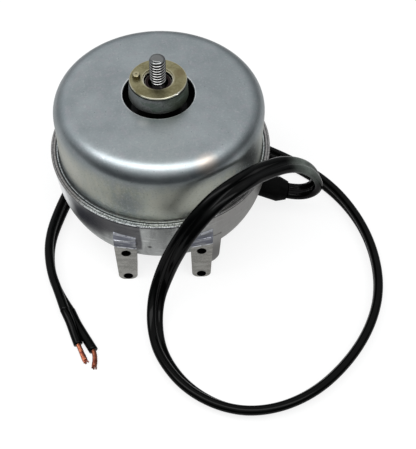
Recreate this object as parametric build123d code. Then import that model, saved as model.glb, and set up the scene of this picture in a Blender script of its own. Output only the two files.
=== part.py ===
from build123d import *
from math import atan2, cos, degrees, pi, radians, sin, sqrt, tan
import os

# Shaded-pole condenser fan motor, the small unit-bearing kind, standing on its cast feet
# with its shaft up. Millimetres. The origin is on the shaft's axis at the floor, +Z runs up
# the shaft, and the milled mounting feet that face the viewer look along -Y.

# Drawn steel cover
cover_diameter = 84.0
cover_height = 27.6
cover_sheet = 1.2
cover_corner_radius = 7.8
cover_hole_diameter = 28.2
cover_hole_edge_radius = 0.4
cover_flange_width = 1.2
cover_heel_radius = 0.5

# Die-cast base: rolled lip, drafted wall, belly and flat bottom
seam_height = 38.9
bowl_bottom_height = 5.8
lip_gap = 0.15
lip_width = 2.05
lip_drop = 0.5
lip_edge_bevel = 0.2
lip_overhang = 0.2
undercut_depth = 0.7
undercut_height = 0.5
undercut_bevel = 0.15
wall_draft = 4.8
belly_start_drop = 10.9
belly_radius = 40.0
belly_end_lean = 24.0
casting_wall = 2.6
cavity_corner_radius = 11.5
cavity_draft = 0.3

# Mounting feet, each milled flat on its outer face and drilled for two screws
foot_spacing = 30.6
foot_top_width = 9.1
foot_bottom_width = 7.6
foot_thickness = 6.0
foot_corner_radius = 3.0
flat_top_height = 23.1
foot_hole_radius = 1.9
foot_hole_depth = 4.4
lower_hole_height = 2.3
foot_hole_pitch = 15.9

# Boss above each foot's milled flat, with a sloping top
boss_face_height = 3.8
boss_height = 7.0
boss_reach = 1.05
boss_turn = 10.0
boss_edge_radius = 0.45

# Corner pad beside the front right foot, and its twin at the back
pad_middle_angle = -62.3
pad_width = 7.4
pad_bottom_height = 4.6
pad_top_height = 24.0
pad_corner_radius = 3.4

# Stator
stack_drop = 8.9
stack_thickness = 16.0
stack_clearance = 0.1
yoke_width = 6.7
winding_space = 8.6
pole_width = 13.0
pole_shoe_depth = 3.0
pole_shoe_half_angle = 36.0
air_gap = 0.4
pole_count = 4
ledge_width = 10.0
coil_height = 23.0
coil_width = 21.0
coil_corner_radius = 5.0
bobbin_wall = 1.2
bobbin_flange = 0.9
bobbin_rim = 0.6
bobbin_clearance = 0.1
bobbin_shoe_gap = 0.4
shading_ring_depth = 1.8
shading_ring_thickness = 1.8
shading_slot_angle = 10.0
shading_bar_angle = 4.0
link_wire_radius = 0.6
link_wire_rise = 2.0
stack_screw_radius = 1.95
stack_screw_length = 26.0
stack_screw_head_radius = 3.5
stack_screw_head_height = 2.3

# Bearing post, sleeve and the parts in it
shaft_radius = 3.97
running_clearance = 0.04
sleeve_wall = 1.6
sleeve_bottom_rise = 8.3
sleeve_drop = 10.7
sleeve_flange_thickness = 2.4
post_wall = 2.9
post_setback = 1.8
felt_thickness = 1.35
felt_drop = 14.0
thrust_washer_thickness = 1.0
thrust_play = 0.3
plug_thickness = 1.5
plug_dish = 0.6
plug_rim_wall = 0.9

# Rotor, hub, stud and drive pin
hub_radius = 11.2
hub_skirt_wall = 2.2
hub_skirt_overhang = 2.0
hub_skirt_shoulder = 1.5
hub_neck_radius = 8.6
hub_collar_radius = 11.75
hub_nose_radius = 11.35
hub_collar_sink = 0.3
hub_face_above_cover = 7.45
hub_plate_thickness = 0.8
hub_plate_hole_radius = 6.1
hub_recess_radius = 5.6
hub_recess_depth = 0.95
hub_step_radius = 5.2
hub_step_groove = 0.6
plate_nick_angle = -50.0
plate_nick_radius = 0.6
stud_radius = 3.175
stud_length = 10.85
stud_root_radius = 2.6
stud_root_top = 0.6
stud_tip_height = 1.3
stud_tip_radius = 2.1
pin_radius = 1.55
pin_reach = 1.8
pin_depth = 7.0
pin_x = -8.3
pin_y = 1.0
cage_ring_height = 3.0
cage_ring_width = 2.6
cage_ring_inset = 0.5
cage_bar_radius = 1.05
cage_bar_count = 24
clip_thickness = 0.7
clip_reach = 2.3
clip_groove_depth = 0.5
clip_opening = 70.0
lower_washer_thickness = 0.4
shaft_end_length = 1.7
slinger_width = 7.3
slinger_rim = 3.0
slinger_thickness = 0.8
slinger_rise = 1.6

# Strain relief in the base's wall
gland_angle = -9.5
gland_tilt = 8.0
gland_wall_height = 17.2
gland_length = 12.5
gland_head_length = 8.6
gland_neck_width = 9.0
gland_neck_height = 5.8
gland_head_width = 11.4
gland_head_height = 9.0
gland_nose_width = 8.8
gland_nose_height = 5.6
gland_hole_clearance = 0.1
gland_barb = 1.3
gland_barb_length = 2.6
gland_barb_setback = 0.9
gland_base_inset = 1.6

# Flat twin cord, its two split ends and their bare strands
cord_width = 7.8
cord_thickness = 3.7
lead_diameter = 3.6
strand_bundle_radius = 0.95
inner_lead_diameter = 2.45
inner_lead_spread = 2.1
inner_lead_run = 4.5
inner_lead_rise = 5.0
inner_lead_offset = 3.0

# Middle line of the cord after its gland: over the curl, down past the cover and the lip,
# round the big loop on the floor, behind the motor and out again at the left
cord_points = [
    (67.3, -12.5, 23.5), (62.0, -14.0, 37.3), (51.5, -18.0, 43.5), (40.0, -27.0, 49.5),
    (31.0, -37.7, 56.0), (20.2, -45.1, 54.2), (11.1, -49.7, 44.6), (4.4, -51.8, 31.8),
    (-0.2, -53.2, 18.5), (-4.0, -59.2, 9.2), (-4.6, -70.0, 4.0), (-1.7, -82.7, 3.8),
    (7.6, -96.5, 3.8), (22.4, -105.6, 3.8), (38.4, -106.6, 3.8), (55.2, -100.4, 3.8),
    (70.0, -88.0, 3.9), (81.7, -72.3, 3.9), (88.6, -54.4, 3.9), (89.4, -34.2, 3.9),
    (85.0, -15.0, 3.9), (75.5, 2.5, 3.9), (61.0, 16.5, 3.9), (43.0, 28.0, 3.9),
    (27.0, 43.0, 3.9), (6.0, 52.0, 3.9), (-17.0, 49.0, 3.9), (-33.0, 34.0, 3.9),
    (-38.0, 13.0, 3.9), (-45.2, -6.0, 3.9), (-49.2, -24.0, 3.9), (-47.7, -40.0, 3.9),
    (-42.0, -53.0, 3.3), (-39.0, -59.6, 2.9),
]
cord_exit_run = 7.2
lead_first_run = 6.2
lead_ends = {"left": (-34.6, -74.6, 1.8), "right": (-28.8, -77.5, 1.8)}
strand_first_run = 2.8
strand_ends = {"left": (-31.3, -82.5, 1.1), "right": (-28.5, -85.3, 1.1)}

# Sizes that follow from the ones above
cover_radius = cover_diameter / 2
cover_inner_radius = cover_radius - cover_sheet
cover_top_height = seam_height + cover_height
flange_radius = cover_radius + cover_flange_width
lip_inner_radius = flange_radius + lip_gap
lip_outer_radius = lip_inner_radius + lip_width
seat_height = seam_height - cover_sheet
foot_face = cover_radius
stack_bottom_height = seam_height - stack_drop
belly_start_height = seam_height - belly_start_drop
boss_shoulder_height = flat_top_height + boss_face_height
boss_top_height = flat_top_height + boss_height
stack_top_height = stack_bottom_height + stack_thickness
stack_middle = stack_bottom_height + stack_thickness / 2
stack_radius = cover_inner_radius - 0.6
yoke_inner_radius = stack_radius - yoke_width
stack_screw_place = yoke_inner_radius + yoke_width / 2
shoe_outer_radius = yoke_inner_radius - winding_space
stator_bore_radius = shoe_outer_radius - pole_shoe_depth
rotor_radius = stator_bore_radius - air_gap
cage_ring_outer_radius = rotor_radius - cage_ring_inset
cage_ring_inner_radius = cage_ring_outer_radius - cage_ring_width
cage_bar_place = cage_ring_outer_radius - cage_ring_width / 2
coil_inner_face = shoe_outer_radius + bobbin_shoe_gap
bobbin_half_width = coil_width / 2 + bobbin_rim
coil_outer_face = sqrt(yoke_inner_radius**2 - bobbin_half_width**2) - 0.3
coil_middle = (coil_inner_face + coil_outer_face) / 2
sleeve_bottom_height = bowl_bottom_height + sleeve_bottom_rise
sleeve_top_height = cover_top_height - sleeve_drop
post_top_height = sleeve_top_height - post_setback
felt_top_height = post_top_height - felt_drop
sleeve_bore_radius = shaft_radius + running_clearance
sleeve_radius = sleeve_bore_radius + sleeve_wall
chamber_radius = sleeve_radius + felt_thickness
post_radius = sleeve_radius + post_wall
hub_face_height = cover_top_height + hub_face_above_cover
hub_body_top = hub_face_height - hub_plate_thickness
hub_collar_bottom = cover_top_height - hub_collar_sink
hub_skirt_bottom_height = stack_bottom_height - hub_skirt_overhang
recess_floor_height = hub_body_top - hub_recess_depth
washer_top_height = sleeve_top_height + thrust_washer_thickness
hub_ceiling_height = washer_top_height + thrust_play
hub_skirt_top = hub_ceiling_height + hub_skirt_shoulder
stud_root_height = hub_face_height - stud_root_top
stud_tip = hub_face_height + stud_length
slinger_radius = hub_radius + slinger_width
lower_washer_top = sleeve_bottom_height - thrust_play
clip_top_height = lower_washer_top - lower_washer_thickness
clip_bottom_height = clip_top_height - clip_thickness
gland_wall_radius = cover_radius
gland_reach = cos(radians(gland_tilt))
gland_fall = sin(radians(gland_tilt))
gland_axis = Vector(
    cos(radians(gland_angle)) * gland_reach,
    sin(radians(gland_angle)) * gland_reach,
    -gland_fall,
)
gland_seat = Vector(
    gland_wall_radius * cos(radians(gland_angle)),
    gland_wall_radius * sin(radians(gland_angle)),
    gland_wall_height,
)
gland_exit = gland_seat + gland_axis * gland_length
cord_area = (cord_width - cord_thickness) * cord_thickness + pi * cord_thickness**2 / 4
cord_diameter = 2 * sqrt(cord_area / pi)
lead_start_spread = (cord_width - cord_thickness) / 2


# General helpers

def turned(outline):
    """Solid turned about Z from one closed outline drawn as radius and height."""
    return revolve(Plane.XZ * make_face(outline), Axis.Z)


def turned_points(*points):
    """Solid turned about Z from straight lines through radius and height points."""
    return turned(Polyline(*points, close=True))


def ring(inner_radius, outer_radius, bottom, top):
    """Plain ring about Z."""
    return turned_points(
        (inner_radius, bottom), (outer_radius, bottom), (outer_radius, top), (inner_radius, top)
    )


def sector(inner_radius, outer_radius, start_angle, end_angle):
    """Flat ring sector about the origin, angles in degrees."""
    sweep_angle = end_angle - start_angle
    outer = CenterArc((0, 0), outer_radius, start_angle, sweep_angle)
    inner = CenterArc((0, 0), inner_radius, end_angle, -sweep_angle)
    return make_face(outer + inner + Line(outer @ 1, inner @ 0) + Line(inner @ 1, outer @ 0))


def raised(face, bottom, top):
    """Face drawn on the floor plane, extruded between two heights."""
    return Pos(0, 0, bottom) * extrude(face, top - bottom)


def around(shape, angle):
    """Copy of a shape turned about the shaft's axis."""
    return Rot(0, 0, angle) * shape


def corner_radii(points):
    """Largest smooth arc at each corner of a route: 0.45 of the shorter run."""
    spots = [Vector(*point) for point in points]
    radii = []
    for before, here, after in zip(spots, spots[1:], spots[2:]):
        turn = (here - before).get_angle(after - here)
        shorter = min((here - before).length, (after - here).length)
        radii.append(0.45 * shorter / tan(radians(turn / 2)))
    return radii


def tube(points, radius, name):
    """Round tube along straight runs that are joined by tangent arcs."""
    radii = corner_radii(points)
    path = FilletPolyline(*points, radius=radii)
    start = Plane(origin=path @ 0, z_dir=path % 0)
    solid = sweep(start * Circle(radius), path=path)
    expected = pi * radius**2 * path.length
    print(name, "length %.1f" % path.length, "volume ratio %.4f" % (solid.volume / expected),
          "radii", [round(value, 1) for value in radii])
    return solid


# Die-cast base

def wall_radius_at(height):
    """Radius of the drafted outer wall, before the belly begins."""
    wall_top = seam_height - lip_drop - undercut_height - 2 * undercut_bevel
    return lip_outer_radius - lip_overhang - (wall_top - height) * tan(radians(wall_draft))


def bowl_envelope():
    """Everything inside the bowl's outer skin, with the lip and its undercut."""
    lip_bottom = seam_height - lip_drop
    groove_radius = lip_outer_radius - undercut_depth
    groove_top = lip_bottom - undercut_bevel
    groove_bottom = groove_top - undercut_height
    wall_top = groove_bottom - undercut_bevel
    belly_start = (wall_radius_at(belly_start_height), belly_start_height)
    edge = Polyline(
        (0, seam_height), (lip_outer_radius - lip_edge_bevel, seam_height),
        (lip_outer_radius, seam_height - lip_edge_bevel), (lip_outer_radius, lip_bottom),
        (groove_radius, groove_top), (groove_radius, groove_bottom),
        (wall_radius_at(wall_top), wall_top), belly_start,
    )
    lean = radians(wall_draft)
    belly = JernArc(belly_start, (-sin(lean), -cos(lean)), belly_radius,
                    wall_draft - belly_end_lean)
    corner_drop = (belly @ 1).Y - bowl_bottom_height
    corner_radius = corner_drop / (1 - sin(radians(belly_end_lean)))
    corner = JernArc(belly @ 1, belly % 1, corner_radius, belly_end_lean - 90)
    bottom = Polyline(corner @ 1, (0, bowl_bottom_height), (0, seam_height))
    return turned(edge + belly + corner + bottom)


def bowl_cavity():
    """Space inside the bowl and round the bearing post, with the cover's seat."""
    floor_height = bowl_bottom_height + casting_wall
    bore_radius = stack_radius + stack_clearance
    low_radius = bore_radius - cavity_draft
    corner_top = floor_height + cavity_corner_radius
    heel = 3.0
    top = Polyline(
        (post_radius, floor_height + heel), (post_radius, seam_height),
        (lip_inner_radius, seam_height), (lip_inner_radius, seat_height),
        (bore_radius, seat_height), (bore_radius, stack_bottom_height), (low_radius, corner_top),
    )
    corner = CenterArc(
        (low_radius - cavity_corner_radius, corner_top), cavity_corner_radius, 0, -90
    )
    heel_arc = CenterArc((post_radius + heel, floor_height + heel), heel, 180, 90)
    floor = Line(corner @ 1, heel_arc @ 1)
    return turned(top + corner + floor + heel_arc)


def stack_ledges():
    """Four ribs inside the bowl that the stator stack rests on."""
    inner = yoke_inner_radius
    outer = lip_outer_radius
    rib = Pos((inner + outer) / 2, 0, stack_bottom_height / 2) * Box(
        outer - inner, ledge_width, stack_bottom_height
    )
    return [around(rib, 45 + 90 * index) for index in range(pole_count)]


def foot_slab(side):
    """One foot: a tapered slab with a rounded end."""
    half_top = foot_top_width / 2
    half_bottom = foot_bottom_width / 2
    outline = Polyline(
        (-half_top, flat_top_height), (-half_bottom, 0), (half_bottom, 0),
        (half_top, flat_top_height), close=True,
    )
    face = make_face(outline)
    face = fillet(face.vertices().group_by(Axis.Y)[0], foot_corner_radius)
    place = Plane(origin=(side * foot_spacing / 2, -foot_face, 0), x_dir=(1, 0, 0), z_dir=(0, -1, 0))
    return place * extrude(face, -foot_thickness)


def foot_boss(side):
    """Boss above a foot: upright face, turned a little outward, under a sloping top."""
    middle = side * foot_spacing / 2
    half = foot_top_width / 2
    lean = -side * tan(radians(boss_turn))
    face_y = -foot_face - boss_reach
    back_y = -foot_face + foot_thickness

    def outline(height, front):
        left, right = middle - half, middle + half
        return Plane.XY.offset(height) * make_face(Polyline(
            (left, back_y), (left, front(left)), (right, front(right)), (right, back_y), close=True
        ))

    def boss_front(x):
        return face_y - lean * (x - middle)

    def wall_front(x):
        return -sqrt(wall_radius_at(boss_top_height)**2 - x**2) + 0.2

    upright = loft([outline(flat_top_height, boss_front), outline(boss_shoulder_height, boss_front)],
                   ruled=True)
    sloping = loft([outline(boss_shoulder_height, boss_front), outline(boss_top_height, wall_front)],
                   ruled=True)
    boss = upright + sloping
    front = [
        edge for edge in boss.edges()
        if edge.center().Y < face_y + boss_reach and edge.center().Z > flat_top_height + 0.5
    ]
    return fillet(front, boss_edge_radius)


def foot_mill_cut(side):
    """What the milling cutter takes off in front of a foot's flat."""
    depth = 10.0
    middle = side * foot_spacing / 2
    return Pos(middle, -foot_face - depth / 2, flat_top_height / 2) * Box(
        foot_top_width, depth, flat_top_height
    )


def foot_holes(side):
    """The two blind screw holes of one foot."""
    heights = [lower_hole_height, lower_hole_height + foot_hole_pitch]
    return [
        Plane(origin=(side * foot_spacing / 2, -foot_face, height), z_dir=(0, 1, 0))
        * extrude(Circle(foot_hole_radius), foot_hole_depth)
        for height in heights
    ]


def corner_pad():
    """Pad that carries the wall's line down to the bowl's bottom beside a foot."""
    reach = lip_outer_radius
    height = pad_top_height - pad_bottom_height
    face = Rectangle(pad_width, height)
    face = fillet(face.vertices().group_by(Axis.Y)[0], pad_corner_radius)
    place = Plane(origin=(0, 0, pad_bottom_height + height / 2), x_dir=(0, 1, 0), z_dir=(1, 0, 0))
    bar = place * extrude(face, reach)
    core = ring(reach * 0.75, reach, 0, seam_height)
    skin = turned_points(
        (0, 0), (wall_radius_at(0), 0),
        (wall_radius_at(pad_top_height), pad_top_height), (0, pad_top_height),
    )
    return around(bar & core & skin, pad_middle_angle)


def gland_plane(distance):
    """Plane square to the strain relief's axis, at a distance out from the wall."""
    angle = radians(gland_angle)
    return Plane(origin=gland_seat + gland_axis * distance, x_dir=(-sin(angle), cos(angle), 0),
                 z_dir=gland_axis)


def make_base_casting():
    body = bowl_envelope()
    for turn in (0, 180):
        for side in (-1, 1):
            body += around(foot_slab(side) + foot_boss(side), turn)
        body += around(corner_pad(), turn)
    for turn in (0, 180):
        for side in (-1, 1):
            body -= around(foot_mill_cut(side), turn)
            for hole in foot_holes(side):
                body -= around(hole, turn)
    body -= bowl_cavity() - stack_ledges()
    body += ring(chamber_radius - 1, post_radius, bowl_bottom_height, post_top_height)
    body -= turned_points(
        (0, 0), (chamber_radius, 0), (chamber_radius, felt_top_height),
        (sleeve_radius, felt_top_height), (sleeve_radius, post_top_height + 1),
        (0, post_top_height + 1),
    )
    for screw in stack_screw_places():
        body -= Pos(screw.X, screw.Y, stack_bottom_height) * Cylinder(
            stack_screw_radius + 0.05, stack_screw_length - stack_thickness + 2,
            align=(Align.CENTER, Align.CENTER, Align.MAX),
        )
    hole = SlotOverall(gland_neck_width + 2 * gland_hole_clearance,
                       gland_neck_height + 2 * gland_hole_clearance)
    body -= gland_plane(-gland_head_length) * extrude(hole, 2 * gland_head_length)
    return body


def make_cover():
    """Deep-drawn shell with a turned-out flange that the base's lip is rolled over."""
    top = cover_top_height
    inner_top = top - cover_sheet
    corner_centre = (cover_radius - cover_corner_radius, top - cover_corner_radius)
    outer_corner = CenterArc(corner_centre, cover_corner_radius, 90, -90)
    inner_corner = CenterArc(corner_centre, cover_corner_radius - cover_sheet, 0, 90)
    heel = CenterArc(
        (cover_radius + cover_heel_radius, seam_height + cover_heel_radius),
        cover_heel_radius, 180, 90,
    )
    hole = cover_hole_diameter / 2
    edge = cover_hole_edge_radius
    hole_edge = CenterArc((hole + edge, top - edge), edge, 180, -90)
    outline = hole_edge + Line(hole_edge @ 1, outer_corner @ 0) + outer_corner
    outline += Line(outer_corner @ 1, heel @ 0)
    outline += heel + Polyline(
        heel @ 1, (flange_radius, seam_height), (flange_radius, seat_height),
        (cover_inner_radius, seat_height), inner_corner @ 0,
    )
    outline += inner_corner + Polyline(inner_corner @ 1, (hole, inner_top), hole_edge @ 0)
    return turned(outline)


# Stator

def stack_screw_places():
    """The four screw places on the yoke, between the poles."""
    return [
        Vector(stack_screw_place, 0, 0).rotate(Axis.Z, 45 + 90 * index)
        for index in range(pole_count)
    ]


def make_stator_core():
    """Lamination stack: yoke, four poles with shoes, and a shading slot in each shoe."""
    face = Circle(stack_radius) - Circle(yoke_inner_radius)
    pole_length = yoke_inner_radius + 1 - stator_bore_radius - 1
    pole_middle = stator_bore_radius + 1 + pole_length / 2
    slot = (shading_slot_angle - 2.4, shading_slot_angle + 2.4)
    slot_depth = stator_bore_radius + shading_ring_depth + 0.9
    for index in range(pole_count):
        angle = 360 / pole_count * index
        face += Rot(0, 0, angle) * Pos(pole_middle, 0) * Rectangle(pole_length, pole_width)
        face += Rot(0, 0, angle) * sector(
            stator_bore_radius, shoe_outer_radius, -pole_shoe_half_angle, pole_shoe_half_angle
        )
        face -= Rot(0, 0, angle) * sector(stator_bore_radius - 1, slot_depth, *slot)
    for screw in stack_screw_places():
        face -= Pos(screw.X, screw.Y) * Circle(stack_screw_radius + 0.2)
    return raised(face, stack_bottom_height, stack_top_height)


def make_shading_rings():
    """Copper loop round the tip of each pole shoe, one side of it in the slot."""
    inner = stator_bore_radius + 0.6
    outer = inner + shading_ring_depth
    half_bar = shading_bar_angle / 2
    far_angle = pole_shoe_half_angle + 0.6
    strap = sector(inner, outer, shading_slot_angle - half_bar, far_angle + shading_bar_angle)
    loop = raised(strap, stack_top_height, stack_top_height + shading_ring_thickness)
    loop += raised(strap, stack_bottom_height - shading_ring_thickness, stack_bottom_height)
    for start in (shading_slot_angle - half_bar, far_angle):
        bar = sector(inner, outer, start, start + shading_bar_angle)
        loop += raised(bar, stack_bottom_height, stack_top_height)
    return Compound(children=[around(loop, 360 / pole_count * i) for i in range(pole_count)])


def pole_plane(distance):
    """Plane square to the first pole, at a distance from the shaft's axis."""
    return Plane(origin=(distance, 0, stack_middle), x_dir=(0, 1, 0), z_dir=(1, 0, 0))


def make_bobbin():
    """Moulded bobbin on one pole: a square tube between two flanges."""
    inner_width = pole_width + 2 * bobbin_clearance
    inner_height = stack_thickness + 2 * bobbin_clearance
    length = coil_outer_face - coil_inner_face
    tube_face = Rectangle(inner_width + 2 * bobbin_wall, inner_height + 2 * bobbin_wall)
    flange_face = RectangleRounded(
        coil_width + 2 * bobbin_rim, coil_height + 2 * bobbin_rim, coil_corner_radius
    )
    body = pole_plane(coil_inner_face) * extrude(tube_face, length)
    body += pole_plane(coil_inner_face) * extrude(flange_face, bobbin_flange)
    body += pole_plane(coil_outer_face - bobbin_flange) * extrude(flange_face, bobbin_flange)
    body -= pole_plane(coil_inner_face - 1) * extrude(
        Rectangle(inner_width, inner_height), length + 2
    )
    return body


def make_coil():
    """Winding that fills one bobbin between its flanges."""
    core_width = pole_width + 2 * (bobbin_clearance + bobbin_wall)
    core_height = stack_thickness + 2 * (bobbin_clearance + bobbin_wall)
    face = RectangleRounded(coil_width, coil_height, coil_corner_radius)
    face -= Rectangle(core_width, core_height)
    length = coil_outer_face - coil_inner_face - 2 * bobbin_flange
    return pole_plane(coil_inner_face + bobbin_flange) * extrude(face, length)


def make_coil_links():
    """Three short wires that join the four coils in a row."""
    radius = sqrt(coil_middle**2 + coil_width**2 / 4)
    flank_angle = degrees(atan2(coil_width / 2, coil_middle)) - 1.5
    pole_angle = 360 / pole_count
    height = stack_bottom_height + link_wire_rise
    links = []
    for index in range(pole_count - 1):
        start = pole_angle * index
        path = Plane.XY.offset(height) * CenterArc(
            (0, 0), radius, start + flank_angle, pole_angle - 2 * flank_angle
        )
        section = Plane(origin=path @ 0, z_dir=path % 0) * Circle(link_wire_radius)
        wire = sweep(section, path=path)
        wire -= around(make_coil(), start)
        wire -= around(make_coil(), start + pole_angle)
        links.append(wire)
    return Compound(children=links)


def make_stator_screws():
    """Four screws that hold the stack down on the ribs."""
    screws = []
    for place in stack_screw_places():
        head = Cylinder(stack_screw_head_radius, stack_screw_head_height,
                        align=(Align.CENTER, Align.CENTER, Align.MIN))
        head = fillet(head.edges().group_by(Axis.Z)[-1], stack_screw_head_height * 0.4)
        shank = Cylinder(stack_screw_radius, stack_screw_length,
                         align=(Align.CENTER, Align.CENTER, Align.MAX))
        drive = Pos(0, 0, stack_screw_head_height) * Box(
            2 * stack_screw_head_radius, 0.9, 2 * 1.1
        )
        screws.append(Pos(place.X, place.Y, stack_top_height) * (head + shank - drive))
    return Compound(children=screws)


# Bearing

def make_bearing_sleeve():
    """Sintered bronze sleeve with a flange at its lower end."""
    flange_top = sleeve_bottom_height + sleeve_flange_thickness
    return turned_points(
        (sleeve_bore_radius, sleeve_bottom_height), (chamber_radius, sleeve_bottom_height),
        (chamber_radius, flange_top), (sleeve_radius, flange_top),
        (sleeve_radius, sleeve_top_height), (sleeve_bore_radius, sleeve_top_height),
    )


def make_oil_felt():
    """Felt packing round the sleeve, which holds the oil."""
    gap = 0.05
    return ring(sleeve_radius + gap, chamber_radius - gap,
                sleeve_bottom_height + sleeve_flange_thickness + gap, felt_top_height - gap)


def make_bearing_plug():
    """Dished steel plug pressed into the bottom of the post."""
    bottom = bowl_bottom_height
    dish = bottom + plug_dish
    rim_top = bottom + plug_thickness * 2
    rim = chamber_radius - plug_rim_wall
    ring_start = rim - plug_rim_wall
    return turned_points(
        (0, dish), (ring_start - plug_dish, dish), (ring_start, bottom), (chamber_radius, bottom),
        (chamber_radius, rim_top), (rim, rim_top), (rim, dish + plug_thickness),
        (0, dish + plug_thickness),
    )


def make_thrust_washer():
    """Washer on top of the sleeve that carries the rotor."""
    return ring(shaft_radius + 0.3, sleeve_radius + 1.4, sleeve_top_height, washer_top_height)


# Rotor

def make_rotor_hub():
    """Turned steel hub: a skirt round the bearing post, a neck and a tapered collar above it."""
    skirt_radius = hub_radius - hub_skirt_wall
    edge_bevel = 0.3
    return turned_points(
        (skirt_radius, hub_skirt_bottom_height), (hub_radius - edge_bevel, hub_skirt_bottom_height),
        (hub_radius, hub_skirt_bottom_height + edge_bevel), (hub_radius, hub_skirt_top),
        (hub_neck_radius, hub_skirt_top), (hub_neck_radius, hub_collar_bottom),
        (hub_collar_radius - edge_bevel, hub_collar_bottom),
        (hub_collar_radius, hub_collar_bottom + edge_bevel), (hub_nose_radius, hub_body_top),
        (hub_recess_radius, hub_body_top), (hub_recess_radius, recess_floor_height - hub_step_groove),
        (hub_step_radius, recess_floor_height - hub_step_groove),
        (hub_step_radius, recess_floor_height), (shaft_radius, recess_floor_height),
        (shaft_radius, hub_ceiling_height), (skirt_radius, hub_ceiling_height),
    ) - pin_shape(0)


def pin_shape(tip_bevel):
    """Drive pin, from inside the hub to just above its face."""
    length = pin_depth + pin_reach
    pin = Pos(pin_x, pin_y, hub_face_height - pin_depth) * Cylinder(
        pin_radius, length, align=(Align.CENTER, Align.CENTER, Align.MIN)
    )
    if tip_bevel:
        pin = chamfer(pin.edges().group_by(Axis.Z)[-1], tip_bevel)
    return pin


def make_hub_face_plate():
    """Plated washer on the hub's nose, with one small nick in its rim."""
    plate = ring(hub_plate_hole_radius, hub_radius, hub_body_top, hub_face_height)
    plate = chamfer(plate.edges().group_by(Axis.Z)[-1].sort_by(SortBy.RADIUS)[-1:], 0.2)
    nick = Pos(hub_radius + plate_nick_radius * 0.3, 0, hub_face_height) * Sphere(plate_nick_radius)
    return plate - around(nick, plate_nick_angle) - pin_shape(0)


def make_shaft():
    """Ground shaft with a clip groove below and the fan stud above."""
    groove_radius = shaft_radius - clip_groove_depth
    bottom = clip_bottom_height - shaft_end_length
    bevel = 0.5
    tip_base = stud_tip - stud_tip_height
    lower = Polyline(
        (0, stud_tip), (0, bottom), (shaft_radius - bevel, bottom), (shaft_radius, bottom + bevel),
        (shaft_radius, clip_bottom_height), (groove_radius, clip_bottom_height),
        (groove_radius, clip_top_height), (shaft_radius, clip_top_height),
        (shaft_radius, recess_floor_height), (stud_root_radius, recess_floor_height),
        (stud_root_radius, stud_root_height), (stud_radius, stud_root_height),
        (stud_radius, tip_base),
    )
    shoulder = (stud_tip_radius, stud_tip - stud_tip_height * 0.35)
    crown = (stud_tip_radius * 0.25, stud_tip)
    dome = ThreePointArc(shoulder, (stud_tip_radius * 0.68, stud_tip - stud_tip_height * 0.1), crown)
    tip = Line((stud_radius, tip_base), shoulder) + dome + Line(crown, (0, stud_tip))
    return turned(lower + tip)


def make_rotor_core():
    """Lamination stack of the rotor, pierced for the cage's bars."""
    face = Circle(rotor_radius) - Circle(hub_radius)
    for place in cage_bar_places():
        face -= Pos(place.X, place.Y) * Circle(cage_bar_radius)
    return raised(face, stack_bottom_height, stack_top_height)


def cage_bar_places():
    """Places of the cage's bars round the rotor."""
    place = Vector(cage_bar_place, 0, 0)
    return [place.rotate(Axis.Z, 360 / cage_bar_count * index) for index in range(cage_bar_count)]


def make_rotor_cage():
    """Die-cast aluminium cage: an end ring above and below, joined by bars."""
    cage = ring(cage_ring_inner_radius, cage_ring_outer_radius,
                stack_top_height, stack_top_height + cage_ring_height)
    cage += ring(cage_ring_inner_radius, cage_ring_outer_radius,
                 stack_bottom_height - cage_ring_height, stack_bottom_height)
    for place in cage_bar_places():
        cage += Pos(place.X, place.Y, stack_middle) * Cylinder(cage_bar_radius, stack_thickness)
    return cage


def make_oil_slinger():
    """Dished nylon washer on the hub that keeps oil and dust apart."""
    bottom = hub_ceiling_height
    top = bottom + slinger_thickness
    bend = slinger_radius - slinger_rim
    return turned_points(
        (hub_radius, bottom), (bend, bottom), (slinger_radius, bottom + slinger_rise),
        (slinger_radius, top + slinger_rise), (bend - slinger_thickness / 2, top), (hub_radius, top),
    )


def make_lower_washer():
    """Thin washer between the sleeve's flange and the clip."""
    return ring(shaft_radius + 0.1, shaft_radius + 2.4, clip_top_height, lower_washer_top)


def make_retaining_clip():
    """Spring clip in the shaft's groove, open on one side."""
    half = clip_opening / 2
    face = sector(shaft_radius - clip_groove_depth, shaft_radius + clip_reach, half, 360 - half)
    return raised(face, clip_bottom_height, clip_top_height)


# Strain relief, inner leads and cord

def gland_depth():
    """How far the strain relief reaches in from the outer wall."""
    inner_wall = stack_radius - cavity_draft
    return (gland_wall_radius - inner_wall) / gland_reach + gland_barb_length + gland_barb_setback


def make_strain_relief():
    """Moulded bushing: barbed neck in the wall, a flared head and a short nose."""
    neck = SlotOverall(gland_neck_width, gland_neck_height)
    head = SlotOverall(gland_head_width, gland_head_height)
    nose = SlotOverall(gland_nose_width, gland_nose_height)
    outside = loft([gland_plane(-gland_base_inset) * neck, gland_plane(gland_head_length) * head])
    outside += loft([gland_plane(gland_head_length) * head, gland_plane(gland_length) * nose])
    outside -= bowl_envelope()
    depth = gland_depth()
    shank = gland_plane(-depth) * extrude(neck, depth)
    shank = shank & bowl_envelope()
    barb_face = SlotOverall(gland_neck_width + 2 * gland_barb, gland_neck_height + 2 * gland_barb)
    barb = loft([gland_plane(-depth) * neck, gland_plane(-depth + gland_barb_length) * barb_face])
    barb = barb & bowl_cavity()
    return outside + shank + barb


def inner_lead(side):
    """One insulated wire from the strain relief to the first coil."""
    place = gland_plane(-gland_depth())
    start = place.from_local_coords(Vector(inner_lead_spread * side, 0, 0))
    inside = place.from_local_coords(Vector(inner_lead_spread * side, 0, -inner_lead_run))
    coil_bottom = stack_middle - coil_height / 2
    end = Vector(coil_middle, inner_lead_offset * side, coil_bottom)
    below = end - Vector(0, 0, inner_lead_rise)
    return tube([start, inside, below, end], inner_lead_diameter / 2, "inner lead")


def make_cord():
    first = gland_exit + gland_axis * cord_exit_run
    return tube([gland_exit, first] + cord_points, cord_diameter / 2, "cord")


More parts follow.
